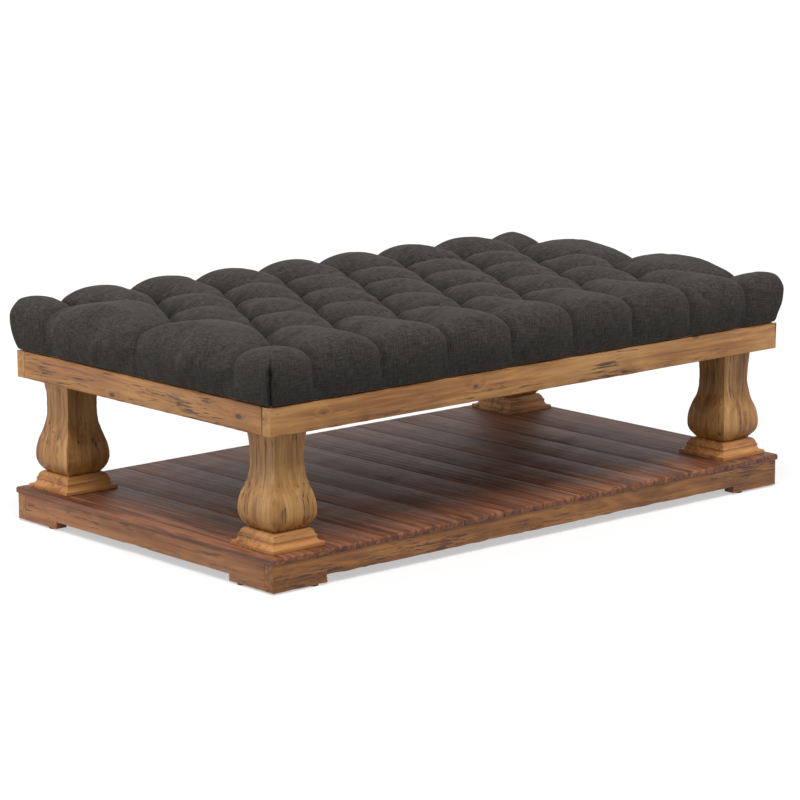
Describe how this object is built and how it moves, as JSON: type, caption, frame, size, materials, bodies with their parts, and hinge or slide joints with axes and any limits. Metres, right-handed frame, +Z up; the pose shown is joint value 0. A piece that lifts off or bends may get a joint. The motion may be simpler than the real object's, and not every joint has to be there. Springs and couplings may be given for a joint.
{
  "type": "ottoman coffee table",
  "caption": "Long coffee table with a deep diamond-tufted charcoal top on a pine apron, square vase legs on moulded plinths and a low boarded shelf.",
  "frame": {"origin": "middle of the table in plan, on the floor under the glides", "axes": "+X along the length, -Y towards the front, +Z up"},
  "size_m": [1.372, 0.813, 0.4572],
  "materials": {
    "charcoal_linen": "dark charcoal slub weave, matt",
    "foam": "upholstery foam, matt",
    "twine": "waxed tufting twine",
    "black_lining": "black non-woven lining, matt",
    "plywood": "bare plywood",
    "apron_pine": "reclaimed pine, waxed, with knots",
    "leg_pine": "reclaimed pine, waxed, honey, with cracks",
    "plinth_pine": "reclaimed pine, waxed",
    "shelf_pine": "reclaimed pine, waxed, a little redder",
    "base_pine": "reclaimed pine, waxed, with dark streaks",
    "inner_pine": "bare planed pine",
    "zinc_steel": "zinc plated",
    "black_plastic": "black, matt"
  },
  "bodies": {
    "root": {"apron_block_front_left": "inner_pine", "apron_block_front_right": "inner_pine", "apron_block_rear_left": "inner_pine", "apron_block_rear_right": "inner_pine", "apron_rail_front": "apron_pine", "apron_rail_left": "apron_pine", "apron_rail_rear": "apron_pine", "apron_rail_right": "apron_pine", "apron_tenons": "inner_pine", "base_block_front_left": "inner_pine", "base_block_front_right": "inner_pine", "base_block_rear_left": "inner_pine", "base_block_rear_right": "inner_pine", "base_rail_front": "base_pine", "base_rail_left": "base_pine", "base_rail_rear": "base_pine", "base_rail_right": "base_pine", "base_tenons": "inner_pine", "board_screws": "zinc_steel", "cushion_cover": "charcoal_linen", "deck_batten_left": "inner_pine", "deck_batten_middle": "inner_pine", "deck_batten_right": "inner_pine", "deck_panel": "plywood", "deck_screws": "zinc_steel", "dust_cover": "black_lining", "foam_pad": "foam", "glides": "black_plastic", "lag_bolts": "zinc_steel", "lag_washers": "zinc_steel", "leg_front_left": "leg_pine", "leg_front_right": "leg_pine", "leg_rear_left": "leg_pine", "leg_rear_right": "leg_pine", "leg_studs": "zinc_steel", "plinth_front_left": "plinth_pine", "plinth_front_right": "plinth_pine", "plinth_rear_left": "plinth_pine", "plinth_rear_right": "plinth_pine", "shelf_batten_front": "inner_pine", "shelf_batten_rear": "inner_pine", "shelf_board_01": "shelf_pine", "shelf_board_02": "shelf_pine", "shelf_board_03": "shelf_pine", "shelf_board_04": "shelf_pine", "shelf_board_05": "shelf_pine", "shelf_board_06": "shelf_pine", "shelf_board_07": "shelf_pine", "shelf_board_08": "shelf_pine", "shelf_board_09": "shelf_pine", "shelf_board_10": "shelf_pine", "shelf_board_11": "shelf_pine", "shelf_board_12": "shelf_pine", "stud_nuts": "zinc_steel", "stud_washers": "zinc_steel", "tuft_buttons": "charcoal_linen", "tufting_twine": "twine"}
  },
  "joints": []
}
